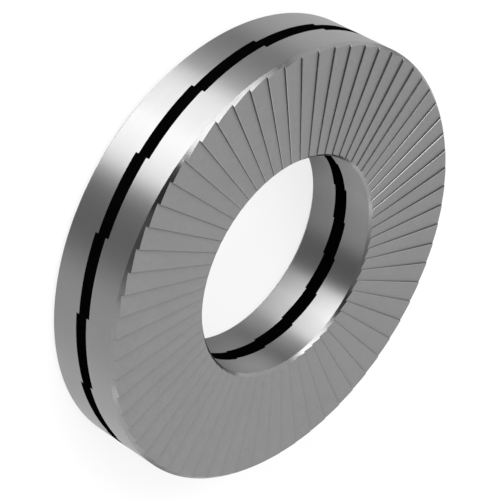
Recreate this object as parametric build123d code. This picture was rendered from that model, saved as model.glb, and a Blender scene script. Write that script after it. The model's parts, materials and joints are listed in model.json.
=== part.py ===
from build123d import *
import os
from math import radians, sin, tan

# A wedge lock washer pair for an M5 screw, wide series: two identical hardened
# steel rings, cam face to cam face, with the thin black layer that bonds them.
# The pair lies flat, its axis is +Z, and the ridges of the lower ring stand on Z = 0.
# All lengths are in millimetres, all angles in degrees.

# Driving dimensions of one ring
outer_diameter = 10.8
bore_diameter = 5.4
ring_thickness = 0.88
edge_chamfer = 0.1

# Locking ridges on the outer face
ridge_count = 64
ridge_depth = 0.05
ridge_angle = 5.0
# From a cam step to the middle of the first ridge cut, counter-clockwise
ridge_start = 3.08

# Cams on the inner face
cam_count = 18
cam_angle = 2.5

# Bonding layer, measured along the axis at the rim
bond_thickness = 0.32

outer_radius = outer_diameter / 2
bore_radius = bore_diameter / 2
cam_pitch = 360 / cam_count
ridge_pitch = 360 / ridge_count

# The cams stand this high at the rim, where a ring has its full thickness
cam_rise = outer_radius * sin(radians(cam_pitch)) * tan(radians(cam_angle))

# Heights above the middle plane of the pair, for the upper ring
cam_crest = bond_thickness / 2 - cam_rise / 2
cam_valley = cam_crest + cam_rise
outer_face = cam_crest + ring_thickness
ridge_valley = outer_face - ridge_depth

# Each ridge cut is a triangle centred on its own radial line
ridge_cut_half = ridge_depth / tan(radians(ridge_angle)) / 2


def ring_blank():
    """The turned ring, chamfered where its outer face meets the rim and the bore."""
    shoulder = outer_face - edge_chamfer
    section = Polyline(
        (bore_radius, cam_crest),
        (outer_radius, cam_crest),
        (outer_radius, shoulder),
        (outer_radius - edge_chamfer, outer_face),
        (bore_radius + edge_chamfer, outer_face),
        (bore_radius, shoulder),
        close=True,
    )
    return revolve(Plane.XZ * make_face(section), Axis.Z)


def radial_cutter(corners):
    """A prism along +X, from half the bore's radius to past the rim.

    Each corner is (distance across the radial line, height), positive across
    being counter-clockwise seen from above.
    """
    across = Plane(origin=(bore_radius / 2, 0, 0), x_dir=(0, 1, 0), z_dir=(1, 0, 0))
    length = outer_radius + edge_chamfer - bore_radius / 2
    return extrude(across * make_face(Polyline(*corners, close=True)), length)


def ridge_cutters():
    """Cuts that leave ramps rising counter-clockwise to a steep step."""
    above = outer_face + ridge_depth
    ramp_end = (above - ridge_valley) / tan(radians(ridge_angle)) - ridge_cut_half
    cutter = radial_cutter([
        (-ridge_cut_half, ridge_valley),
        (ramp_end, above),
        (-ridge_cut_half, above),
    ])
    return [
        cutter.rotate(Axis.Z, ridge_start + number * ridge_pitch)
        for number in range(ridge_count)
    ]


def cam_cutters():
    """Cuts that leave the cams: a ramp clockwise of each radial step."""
    below = cam_crest - cam_rise
    ramp_end = -(cam_valley - below) / tan(radians(cam_angle))
    cutter = radial_cutter([
        (0, cam_valley),
        (0, below),
        (ramp_end, below),
    ])
    return [cutter.rotate(Axis.Z, number * cam_pitch) for number in range(cam_count)]


def lock_ring():
    """The upper ring about the middle plane, with cams below and ridges above."""
    return ring_blank() - cam_cutters() - ridge_cutters()


def bond_layer(upper, lower):
    """The black layer fills the space between the cam faces, flush with both walls."""
    wall = Circle(outer_radius) - Circle(bore_radius)
    filling = extrude(Plane.XY.offset(-cam_valley) * wall, 2 * cam_valley)
    return filling - upper - lower


upper_ring = lock_ring()
lower_ring = upper_ring.rotate(Axis.X, 180)
bond = bond_layer(upper_ring, lower_ring)

# The lowest ridges rest on the surface
lift = Pos(0, 0, -lower_ring.bounding_box().min.Z)
nodes = {
    "upper_lock_washer": lift * upper_ring,
    "lower_lock_washer": lift * lower_ring,
    "bonding_layer": lift * bond,
}

os.makedirs("parts", exist_ok=True)
for name, piece in nodes.items():
    export_step(piece, f"parts/{name}.step")
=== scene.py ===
"""A wedge lock washer pair lying flat: two grey steel rings with a black layer between their cams.

The rings and the layer are modelled in millimetres about the middle plane of the pair, and
are then brought to their nodes' place in metres. Angles are in degrees.
"""

import json
import math

import bpy
from mathutils import Matrix, Vector


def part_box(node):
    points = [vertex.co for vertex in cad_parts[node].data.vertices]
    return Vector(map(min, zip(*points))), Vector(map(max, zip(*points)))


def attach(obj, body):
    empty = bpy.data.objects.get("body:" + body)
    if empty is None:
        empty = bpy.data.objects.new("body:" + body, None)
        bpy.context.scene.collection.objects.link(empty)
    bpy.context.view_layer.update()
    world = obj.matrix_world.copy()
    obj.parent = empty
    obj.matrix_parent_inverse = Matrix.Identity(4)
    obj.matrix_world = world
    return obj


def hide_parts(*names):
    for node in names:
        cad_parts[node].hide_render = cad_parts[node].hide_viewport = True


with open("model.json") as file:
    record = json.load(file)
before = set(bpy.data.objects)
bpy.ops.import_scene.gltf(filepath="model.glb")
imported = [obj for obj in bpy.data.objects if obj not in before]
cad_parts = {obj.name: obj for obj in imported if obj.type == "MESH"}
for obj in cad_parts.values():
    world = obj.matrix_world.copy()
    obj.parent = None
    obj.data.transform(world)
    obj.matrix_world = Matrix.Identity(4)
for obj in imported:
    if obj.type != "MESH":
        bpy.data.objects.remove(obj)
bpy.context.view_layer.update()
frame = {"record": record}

MM = 0.001
MICROMETRE = 0.001 * MM

# Sizes read from the frame
upper_low, upper_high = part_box("upper_lock_washer")
bond_low, bond_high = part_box("bonding_layer")
mounts = frame["record"]["mounts"]
screw_bore = next(mount for mount in mounts if mount["name"] == "screw_bore")
OUTER_RADIUS = upper_high.x / MM
BORE_RADIUS = screw_bore["dims"]["r_mm"]
BORE_WALL = screw_bore["dims"]["length_mm"]
MIDDLE = (bond_low.z + bond_high.z) / 2 / MM
CAM_VALLEY = bond_high.z / MM - MIDDLE
CAM_CREST = upper_low.z / MM - MIDDLE

# The chamfer where a ring's outer face meets the rim and the bore
EDGE_CHAMFER = 0.1

# The locking ridges, and the broken edge along each crest
RIDGE_COUNT = 64
RIDGE_DEPTH = 0.05
RIDGE_ANGLE = 5.0
CREST_BREAK = 0.009
# From a cam step to the middle of the first ridge cut, counter-clockwise
RIDGE_START = 3.08

# The cams
CAM_COUNT = 18
CAM_ANGLE = 2.5

# Heights of the upper ring above the middle plane, half a ridge cut's width, and the
# radius midway between the walls
SHOULDER = BORE_WALL / 2
OUTER_FACE = SHOULDER + EDGE_CHAMFER
RIDGE_VALLEY = OUTER_FACE - RIDGE_DEPTH
RIDGE_CUT_HALF = RIDGE_DEPTH / math.tan(math.radians(RIDGE_ANGLE)) / 2
MIDDLE_RADIUS = (OUTER_RADIUS + BORE_RADIUS) / 2

# The rings are drawn with this many flats, and shaded smooth where flats meet below this angle
FLATS = 288
SMOOTH_BELOW = 20
# Corners nearer than this are one, and a corner this near to a place is at it
MERGE_WITHIN = 0.0005
AT_PLACE = 0.001
# Cutters reach this far past the rings' walls, and past their faces
PAST_WALL = 0.5
PAST_FACE = 0.02
# A ridge cutter's ramp keeps this share of its run, so that its thin end stays a face
RIDGE_RAMP_SHARE = 0.99
# A cam cutter's ramp runs this many times the way to the next step
CAM_RAMP_REACH = 1.2

# The part of a face's normal that lies along the axis: an upright face has less than the
# first, and the broken edge of a crest lies between the other two
UPRIGHT = 0.1
SLANTED = (0.3, 0.9)
# A turned face has a level part of its normal above the first of these, and points along
# the radius by more than the second. The side of a cut does so by less than the third.
LATHE_LEVEL = 0.5
LATHE_OUTWARDS = 0.9
CUT_OUTWARDS = 0.5
# A ridge's step lies at least this far beyond the cams, and its top edge lies above its
# foot by at least this share of the ridge's depth
BEYOND_CAMS = 0.02
ABOVE_FOOT = 0.2

# The grain of the cut faces and of the turned ones, wide across the axis and high along it
CUT_GRAIN = (0.12, 0.12)
TURNED_GRAIN = (2.5, 0.06)
GRAIN_DETAIL = 2.0
NOISE_MEAN = 0.5
# The steel's broad clouds: their size and how far they swing its tone, and how far clouds
# and grain swing its gloss
CLOUD_SIZE = 1.6
CLOUD_SWING = 0.12
ROUGHNESS_SWING = 0.08
# A quarter turn, which draws highlights out along the axis
SMEAR_TURN = 0.25

# The adhesive: its tone, its roughness and how far that swings, the sizes of its grain and
# clouds, and the grain's height in micrometres
ADHESIVE_TONE = 0.0004
ADHESIVE_ROUGHNESS = 0.6
ADHESIVE_SWING = 0.2
ADHESIVE_GRAIN = 0.15
ADHESIVE_CLOUD = 0.8
ADHESIVE_DEPTH = 4

# The camera, fitted to the edges of rim, bore, chamfer and band in the photograph, with
# its lens in millimetres and its other lengths in metres
VIEW_AZIMUTH = 64.95
VIEW_ELEVATION = 35.36
VIEW_ROLL = 120.0
VIEW_DISTANCE = 49.3 * MM
VIEW_LENS = 155.4
VIEW_NEAR = 1 * MM
VIEW_FAR = 5.0
AIM_RIGHT = -0.226 * MM
AIM_UP = -0.004 * MM

# The floor's width in metres, its grey under the lamps, and how white it is to be seen
FLOOR_WIDTH = 1.2
FLOOR_GREY = 0.5
WHITE_SHARE = 0.78

# The studio: how far it stands from the pair, in metres, and how bright the world is,
# where 1 is white
STUDIO_DISTANCE = 0.3
WORLD_LEVEL = 1.0
# Name, then azimuth, elevation, width and height in degrees as the pair sees them, and
# level, where 1 is white
LAMPS = [
    ("key", 26.5, 15, 27, 29, 17.0),
    ("key_hot", 52.5, 15, 26, 29, 23.5),
    ("key_high", 20, 48.5, 46, 14, 11.0),
    ("key_low", -11, 40.5, 16, 12, 5.5),
    ("left_fill", 139, 25, 53, 40, 2.0),
    ("back_fill", -172, 25, 45, 40, 2.15),
    ("right_fill", -51, 25, 46, 40, 2.15),
    ("back_high", -118, 42, 56, 40, 0.65),
    ("top", 0, 90, 60, 60, 0.45),
]
# Name, then azimuth, elevation, width and height in degrees
CARDS = [
    ("card_by_camera", 84, 25, 38, 50),
    ("card_right", -5, 20, 32, 40),
    ("card_high", 57, 52, 22, 24),
]


def select_nothing():
    """Leaves object mode with nothing selected."""
    if bpy.context.object and bpy.context.object.mode != "OBJECT":
        bpy.ops.object.mode_set(mode="OBJECT")
    bpy.ops.object.select_all(action="DESELECT")


def work_on(piece):
    """Selects this piece only, in object mode, and makes it active."""
    select_nothing()
    piece.select_set(True)
    bpy.context.view_layer.objects.active = piece


def edit(piece, mode="VERT"):
    """Enters edit mode on this piece alone, with all of it selected."""
    work_on(piece)
    bpy.ops.object.mode_set(mode="EDIT")
    bpy.ops.mesh.select_mode(type=mode)
    bpy.ops.mesh.select_all(action="SELECT")


def pick(piece, kind, wanted):
    """Selects, in edit mode, the vertices, edges or polygons that pass the test."""
    bpy.ops.mesh.select_all(action="DESELECT")
    bpy.ops.object.mode_set(mode="OBJECT")
    for element in getattr(piece.data, kind):
        element.select = wanted(element)
    bpy.ops.object.mode_set(mode="EDIT")


def pick_faces(piece, wanted):
    """Selects, in edit mode, the faces whose middle and normal pass the test."""
    pick(piece, "polygons", lambda face: wanted(face.center, face.normal))


def along_radius(at, normal):
    """How far a face's level direction lies along the radial line through it, from -1 to 1."""
    if not normal.xy.length:
        return 0
    return at.xy.normalized().dot(normal.xy.normalized())


def is_step(at, normal):
    """Whether a face stands upright along a radial line."""
    return abs(normal.z) < UPRIGHT and abs(along_radius(at, normal)) < CUT_OUTWARDS


def is_ridge_step(at, normal):
    """Whether a face is the steep step of a ridge, on either side of the middle plane."""
    return abs(at.z) > CAM_VALLEY + BEYOND_CAMS and is_step(at, normal)


def is_settled_ridge_step(at, normal):
    """The same, for a ring in its node's place."""
    return is_ridge_step(at / MM - Vector((0, 0, MIDDLE)), normal)


def is_crest(at, normal):
    """Whether a face is the broken edge of a ridge's crest."""
    low, high = SLANTED
    return low < abs(normal.z) < high and abs(along_radius(at, normal)) < CUT_OUTWARDS


def is_turned(at, normal):
    """Whether a face was made on the lathe: the rim, the bore or a chamfer, and not a cut."""
    level = normal.xy.length > LATHE_LEVEL
    return level and abs(along_radius(at, normal)) > LATHE_OUTWARDS


def is_rim(at, normal):
    """Whether a face of a ring in its node's place is on the outer wall."""
    upright = is_turned(at, normal) and abs(normal.z) < UPRIGHT
    return upright and at.xy.length > MIDDLE_RADIUS * MM


def is_bore(at, normal):
    """Whether a face of a ring in its node's place is on the inner wall."""
    upright = is_turned(at, normal) and abs(normal.z) < UPRIGHT
    return upright and at.xy.length < MIDDLE_RADIUS * MM


def break_crests(ring):
    """Bevels the edge along the top of every ridge's steep step."""
    mesh = ring.data
    step_edges = set()
    for face in mesh.polygons:
        if is_ridge_step(face.center, face.normal):
            step_edges.update(face.edge_keys)
    foot = RIDGE_VALLEY + ABOVE_FOOT * RIDGE_DEPTH

    def is_top(edge):
        ends = [mesh.vertices[corner].co.z for corner in edge.vertices]
        return edge.key in step_edges and min(ends) > foot

    edit(ring, "EDGE")
    pick(ring, "edges", is_top)
    bpy.ops.mesh.bevel(offset=CREST_BREAK, segments=1, affect="EDGES", clamp_overlap=False)
    select_nothing()


def widen_by(share):
    """Scales what is selected about the axis."""
    bpy.ops.transform.resize(value=(share, share, 1), center_override=(0, 0, 0))


def lift_by(height):
    """Raises what is selected."""
    bpy.ops.transform.translate(value=(0, 0, height))


def turned_ring(name, profile):
    """A ring drawn as a circle that is extruded from one corner of its section to the next.

    The profile is a list of (radius, height), and the last corner joins the first.
    """
    radius, height = profile[0]
    bpy.ops.mesh.primitive_circle_add(vertices=FLATS, radius=radius, location=(0, 0, height))
    ring = bpy.context.object
    ring.name = name
    work_on(ring)
    bpy.ops.object.transform_apply(location=True)
    edit(ring, "EDGE")
    for next_radius, next_height in profile[1:] + profile[:1]:
        bpy.ops.mesh.extrude_edges_move()
        if next_radius != radius:
            widen_by(next_radius / radius)
        if next_height != height:
            lift_by(next_height - height)
        radius, height = next_radius, next_height
    bpy.ops.mesh.select_all(action="SELECT")
    bpy.ops.mesh.remove_doubles(threshold=MERGE_WITHIN)
    bpy.ops.mesh.normals_make_consistent(inside=False)
    select_nothing()
    return ring


def wedge_cutters(name, low, high, near, far, slope, lifts, count, first):
    """Wedges round the axis, one to each cut.

    A box from low to high, and from near to far across its radial line, has the far end of
    one face raised by the slope where lifts is 1, or lowered by it where lifts is -1. It is
    then turned to the first cut and copied round the axis.
    """
    length = OUTER_RADIUS - BORE_RADIUS + 2 * PAST_WALL
    run = abs(far - near)
    middle = (MIDDLE_RADIUS, (near + far) / 2, (low + high) / 2)
    bpy.ops.mesh.primitive_cube_add(size=1, location=middle)
    cutter = bpy.context.object
    cutter.name = name
    cutter.scale = (length, run, high - low)
    bpy.ops.object.transform_apply(location=True, scale=True)
    level = low if lifts > 0 else high

    def is_far_end(corner):
        return abs(corner.co.y - far) < AT_PLACE and abs(corner.co.z - level) < AT_PLACE

    edit(cutter)
    pick(cutter, "vertices", is_far_end)
    lift_by(lifts * run * math.tan(math.radians(slope)))
    bpy.ops.mesh.select_all(action="SELECT")
    bpy.ops.transform.rotate(
        value=-math.radians(first), orient_axis="Z", center_override=(0, 0, 0)
    )
    bpy.ops.mesh.spin(
        steps=count - 1, dupli=True, angle=2 * math.pi * (count - 1) / count,
        center=(0, 0, 0), axis=(0, 0, 1),
    )
    bpy.ops.mesh.select_all(action="SELECT")
    bpy.ops.mesh.normals_make_consistent(inside=False)
    select_nothing()
    return cutter


def ridge_cutters():
    """Ramps that rise counter-clockwise from the foot of a steep step."""
    high = OUTER_FACE + PAST_FACE
    run = (high - RIDGE_VALLEY) / math.tan(math.radians(RIDGE_ANGLE))
    return wedge_cutters(
        "ridge_cutters", RIDGE_VALLEY, high, -RIDGE_CUT_HALF,
        RIDGE_RAMP_SHARE * run - RIDGE_CUT_HALF, RIDGE_ANGLE, 1, RIDGE_COUNT, RIDGE_START,
    )


def cam_cutters():
    """Ramps that fall clockwise from each radial step, a little past the next step."""
    low = -CAM_VALLEY - PAST_FACE
    far = -CAM_RAMP_REACH * OUTER_RADIUS * math.sin(2 * math.pi / CAM_COUNT)
    return wedge_cutters(
        "cam_cutters", low, CAM_VALLEY, 0, far, CAM_ANGLE, -1, CAM_COUNT, 0
    )


def boolean(piece, cutter, operation):
    """Cuts the piece by the cutter, or keeps what both share, and leaves the cutter as it is."""
    work_on(piece)
    cut = piece.modifiers.new(operation.lower(), "BOOLEAN")
    cut.operation = operation
    cut.object = cutter
    cut.solver = "EXACT"
    cut.use_self = True
    bpy.ops.object.modifier_apply(modifier=cut.name)


def turn_over(piece):
    """Turns a mesh over about the X axis, in place."""
    edit(piece)
    bpy.ops.transform.rotate(value=math.pi, orient_axis="X", center_override=(0, 0, 0))
    select_nothing()


def copy_of(piece, name):
    """A second piece, with a mesh of its own."""
    work_on(piece)
    bpy.ops.object.duplicate()
    copy = bpy.context.object
    copy.name = name
    return copy


def lock_washer(ridges, cams):
    """The upper ring, with cams below and ridges above."""
    ring = turned_ring("upper_washer", [
        (BORE_RADIUS, CAM_CREST),
        (OUTER_RADIUS, CAM_CREST),
        (OUTER_RADIUS, SHOULDER),
        (OUTER_RADIUS - EDGE_CHAMFER, OUTER_FACE),
        (BORE_RADIUS + EDGE_CHAMFER, OUTER_FACE),
        (BORE_RADIUS, SHOULDER),
    ])
    boolean(ring, cams, "DIFFERENCE")
    boolean(ring, ridges, "DIFFERENCE")
    break_crests(ring)
    return ring


def bond_layer(cams):
    """The black layer: what the rings' walls hold between the two cam faces."""
    reach = CAM_VALLEY + PAST_FACE
    layer = turned_ring("black_bond", [
        (BORE_RADIUS, -reach),
        (OUTER_RADIUS, -reach),
        (OUTER_RADIUS, reach),
        (BORE_RADIUS, reach),
    ])
    boolean(layer, cams, "INTERSECT")
    turn_over(cams)
    boolean(layer, cams, "INTERSECT")
    return layer


def settle(piece, node):
    """Brings a piece to its node's place, and stands it for the node."""
    edit(piece)
    lift_by(MIDDLE)
    bpy.ops.transform.resize(value=(MM, MM, MM), center_override=(0, 0, 0))
    work_on(piece)
    bpy.ops.object.shade_smooth_by_angle(angle=math.radians(SMOOTH_BELOW))
    select_nothing()
    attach(piece, "root")
    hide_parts(node)


class Value:
    """A shader socket that takes part in Python expressions."""

    def __init__(self, nodes, socket):
        self.nodes, self.socket = nodes, socket

    def maths(self, operation, *others):
        return self.nodes.add(
            "ShaderNodeMath", {"operation": operation}, [self, *others]
        )

    def __add__(self, other):
        return self.maths("ADD", other)

    def __sub__(self, other):
        return self.maths("SUBTRACT", other)

    def __mul__(self, other):
        return self.maths("MULTIPLY", other)

    def __rsub__(self, other):
        return (self * -1) + other

    __radd__ = __add__
    __rmul__ = __mul__


class Finish:
    """One material's nodes."""

    def __init__(self, name):
        self.material = bpy.data.materials.new(name)
        self.material.use_nodes = True
        self.tree = self.material.node_tree
        self.tree.nodes.clear()

    def add(self, kind, settings=None, inputs=None, output=0):
        """One node, and one of its outputs. Inputs are a list in order, or named."""
        node = self.tree.nodes.new(kind)
        for key, setting in (settings or {}).items():
            setattr(node, key, setting)
        pairs = inputs.items() if isinstance(inputs, dict) else enumerate(inputs or [])
        for key, given in pairs:
            if isinstance(given, Value):
                self.tree.links.new(given.socket, node.inputs[key])
            else:
                node.inputs[key].default_value = given
        return Value(self, node.outputs[output]) if node.outputs else None

    def show(self, shader):
        """Puts the shader on the surface, and gives the material."""
        self.add("ShaderNodeOutputMaterial", None, {"Surface": shader})
        return self.material


def grains(finish, wide, high):
    """Soft noise about zero, its grains this wide across the axis and this high along it."""
    place = finish.add("ShaderNodeTexCoord", output="Object")
    spread = finish.add("ShaderNodeMapping", None, {
        "Vector": place,
        "Scale": (1 / (wide * MM), 1 / (wide * MM), 1 / (high * MM)),
    })
    noise = finish.add("ShaderNodeTexNoise", None, {
        "Vector": spread,
        "Scale": 1.0,
        "Detail": GRAIN_DETAIL,
    })
    return noise - NOISE_MEAN


def relief(finish, height, depth):
    """The normal of a surface with this relief, whose depth is in micrometres."""
    return finish.add("ShaderNodeBump", None, {
        "Height": height,
        "Distance": depth * MICROMETRE,
    })


def steel(name, grey, roughness, grain_size, swing, depth, smear=0.0):
    """Grey steel with broad clouds in its tone and gloss, and a fine grain in these and its relief.

    Swing is the grain's share of the tone, and depth is its height in micrometres. Smear
    stretches highlights along the axis.
    """
    finish = Finish(name)
    grain = grains(finish, *grain_size)
    cloud = grains(finish, CLOUD_SIZE, CLOUD_SIZE)
    normal = relief(finish, grain, depth)
    return finish.show(finish.add("ShaderNodeBsdfPrincipled", None, {
        "Base Color": (grain * swing + cloud * CLOUD_SWING + 1) * grey,
        "Metallic": 1.0,
        "Roughness": (grain + cloud) * ROUGHNESS_SWING + roughness,
        "Anisotropic": smear,
        "Anisotropic Rotation": SMEAR_TURN,
        "Normal": normal,
    }))


def ridged_steel():
    """The matt coated ramps between the ridges, and the cam faces."""
    return steel(
        "ridged_steel", grey=0.161, roughness=0.62, grain_size=CUT_GRAIN, swing=0.16, depth=1.0
    )


def chamfer_steel():
    """The chamfers, turned smooth and dark."""
    return steel(
        "chamfer_steel", grey=0.09, roughness=0.2, grain_size=TURNED_GRAIN, swing=0.1, depth=0.3
    )


def rim_steel():
    """The turned rim, whose highlights are drawn out along the axis."""
    return steel(
        "rim_steel", grey=0.205, roughness=0.5, grain_size=TURNED_GRAIN, swing=0.12, depth=0.6,
        smear=1.0,
    )


# Painted light: the bore is the rim's steel made a little paler, to offset the shade inside it.
def bore_steel():
    """The turned bore, painted a little paler than the rim: painted light that offsets the shade its
    walls cast into it.
    """
    return steel(
        "bore_steel", grey=0.208, roughness=0.5, grain_size=TURNED_GRAIN, swing=0.12, depth=0.6,
        smear=1.0,
    )


# Painted shade: the ridges' steep steps get a near-black grey in place of the shadow that lies along
# them.
def step_steel():
    """The steep steps of the ridges, painted dark: painted shade for the shadow that lies along each
    step.
    """
    return steel(
        "step_steel", grey=0.055, roughness=0.45, grain_size=CUT_GRAIN, swing=0.2, depth=1.0
    )


# Partly painted shade: the crest's smooth gloss is real, but its darker grey draws the crests as dark
# lines.
def crest_steel():
    """The smooth broken edge along each ridge's crest, its grey set darker than the ramps as painted
    shade, so that the crests read as dark lines.
    """
    return steel(
        "crest_steel", grey=0.112, roughness=0.2, grain_size=CUT_GRAIN, swing=0.2, depth=0.5
    )


def black_adhesive():
    """The dull black layer, with clouds in its tone and gloss, and a grain in these and its relief."""
    finish = Finish("black_adhesive")
    grain = grains(finish, ADHESIVE_GRAIN, ADHESIVE_GRAIN)
    cloud = grains(finish, ADHESIVE_CLOUD, ADHESIVE_CLOUD)
    normal = relief(finish, grain, ADHESIVE_DEPTH)
    return finish.show(finish.add("ShaderNodeBsdfPrincipled", None, {
        "Base Color": (grain + cloud + 1) * ADHESIVE_TONE,
        "Roughness": (grain + cloud) * ADHESIVE_SWING + ADHESIVE_ROUGHNESS,
        "Specular IOR Level": 0.0,
        "Normal": normal,
    }))


def dress(piece, finishes):
    """Gives a piece its finishes.

    Each comes with the test for its faces. The first is all over, and a later one goes over
    those before it.
    """
    piece.data.materials.clear()
    for index, (finish, wanted) in enumerate(finishes):
        piece.data.materials.append(finish)
        if not wanted:
            continue
        edit(piece, "FACE")
        pick_faces(piece, wanted)
        piece.active_material_index = index
        bpy.ops.object.material_slot_assign()
        select_nothing()


def make_pair():
    """Both washers and the layer between them, each in its node's place and finished."""
    ridges, cams = ridge_cutters(), cam_cutters()
    upper = lock_washer(ridges, cams)
    lower = copy_of(upper, "lower_washer")
    turn_over(lower)
    bond = bond_layer(cams)
    bpy.data.objects.remove(ridges)
    bpy.data.objects.remove(cams)
    settle(upper, "upper_lock_washer")
    settle(lower, "lower_lock_washer")
    settle(bond, "bonding_layer")
    steels = [
        (ridged_steel(), None),
        (chamfer_steel(), is_turned),
        (rim_steel(), is_rim),
        (bore_steel(), is_bore),
        (step_steel(), is_settled_ridge_step),
        (crest_steel(), is_crest),
    ]
    dress(upper, steels)
    dress(lower, steels)
    dress(bond, [(black_adhesive(), None)])


def place_floor():
    """A pale floor with a light shadow.

    The camera and reflections see it as a plain white sheet for the most part.
    """
    bpy.ops.mesh.primitive_plane_add(size=FLOOR_WIDTH, location=(0, 0, 0))
    floor = bpy.context.object
    floor.name = "floor"
    finish = Finish("pale_floor")
    seen = finish.add("ShaderNodeLightPath", output="Is Camera Ray")
    seen = seen + finish.add("ShaderNodeLightPath", output="Is Glossy Ray")
    seen = seen + finish.add("ShaderNodeLightPath", output="Is Transmission Ray")
    pale = finish.add("ShaderNodeBsdfDiffuse", None, {
        "Color": (FLOOR_GREY, FLOOR_GREY, FLOOR_GREY, 1),
    })
    white = finish.add("ShaderNodeEmission", None, {"Color": (1, 1, 1, 1), "Strength": 1.0})
    floor.data.materials.append(finish.show(
        finish.add("ShaderNodeMixShader", None, [seen * WHITE_SHARE, pale, white])
    ))


def way_to(azimuth, elevation):
    """The direction from the pair to a place in the studio."""
    turn, rise = math.radians(azimuth), math.radians(elevation)
    return Vector((
        math.cos(turn) * math.cos(rise),
        math.sin(turn) * math.cos(rise),
        math.sin(rise),
    ))


def span(angle):
    """The width, at the studio's distance, that spans this angle."""
    return 2 * STUDIO_DISTANCE * math.tan(math.radians(angle) / 2)


def stand_at(thing, azimuth, elevation):
    """Stands a lamp or card at the studio's distance, facing the pair and out of sight."""
    way = way_to(azimuth, elevation)
    thing.location = way * STUDIO_DISTANCE
    thing.rotation_mode = "QUATERNION"
    thing.rotation_quaternion = way.to_track_quat("Z", "Y")
    thing.visible_camera = False


def soft_lamp(name, azimuth, elevation, wide, high, level):
    """A soft lamp that spans wide by high degrees. Level is its brightness."""
    data = bpy.data.lights.new(name, "AREA")
    data.shape = "RECTANGLE"
    data.size, data.size_y = span(wide), span(high)
    data.energy = level * math.pi * data.size * data.size_y
    lamp = bpy.data.objects.new(name, data)
    bpy.context.scene.collection.objects.link(lamp)
    stand_at(lamp, azimuth, elevation)


def black_card(name, azimuth, elevation, wide, high):
    """A card that keeps the light of its side off the pair."""
    bpy.ops.mesh.primitive_plane_add(size=1)
    card = bpy.context.object
    card.name = name
    card.scale = (span(wide), span(high), 1)
    finish = Finish(name)
    card.data.materials.append(finish.show(finish.add(
        "ShaderNodeBsdfDiffuse", None, {"Color": (0, 0, 0, 1)}
    )))
    stand_at(card, azimuth, elevation)


def light_it():
    """A plain white world, soft lamps round the pair, and cards for the dark stripes in steel."""
    world = bpy.data.worlds.new("studio")
    bpy.context.scene.world = world
    world.use_nodes = True
    background = world.node_tree.nodes["Background"]
    background.inputs["Color"].default_value = (1, 1, 1, 1)
    background.inputs["Strength"].default_value = WORLD_LEVEL
    for lamp in LAMPS:
        soft_lamp(*lamp)
    for card in CARDS:
        black_card(*card)


def place_camera():
    """Looks down on the middle of the pair, turned so that its axis points down to the right."""
    back = way_to(VIEW_AZIMUTH, VIEW_ELEVATION)
    level = back.to_track_quat("Z", "Y").to_matrix()
    facing = Matrix.Rotation(math.radians(VIEW_ROLL), 3, back) @ level
    aim = Vector((0, 0, MIDDLE * MM)) + facing @ Vector((AIM_RIGHT, AIM_UP, 0))
    data = bpy.data.cameras.new("camera")
    data.sensor_fit = "HORIZONTAL"
    data.lens = VIEW_LENS
    data.clip_start = VIEW_NEAR
    data.clip_end = VIEW_FAR
    camera = bpy.data.objects.new("camera", data)
    bpy.context.scene.collection.objects.link(camera)
    camera.matrix_world = Matrix.Translation(aim + back * VIEW_DISTANCE) @ facing.to_4x4()
    bpy.context.scene.camera = camera


make_pair()
place_floor()
light_it()
place_camera()
bpy.context.scene.view_settings.view_transform = "Standard"
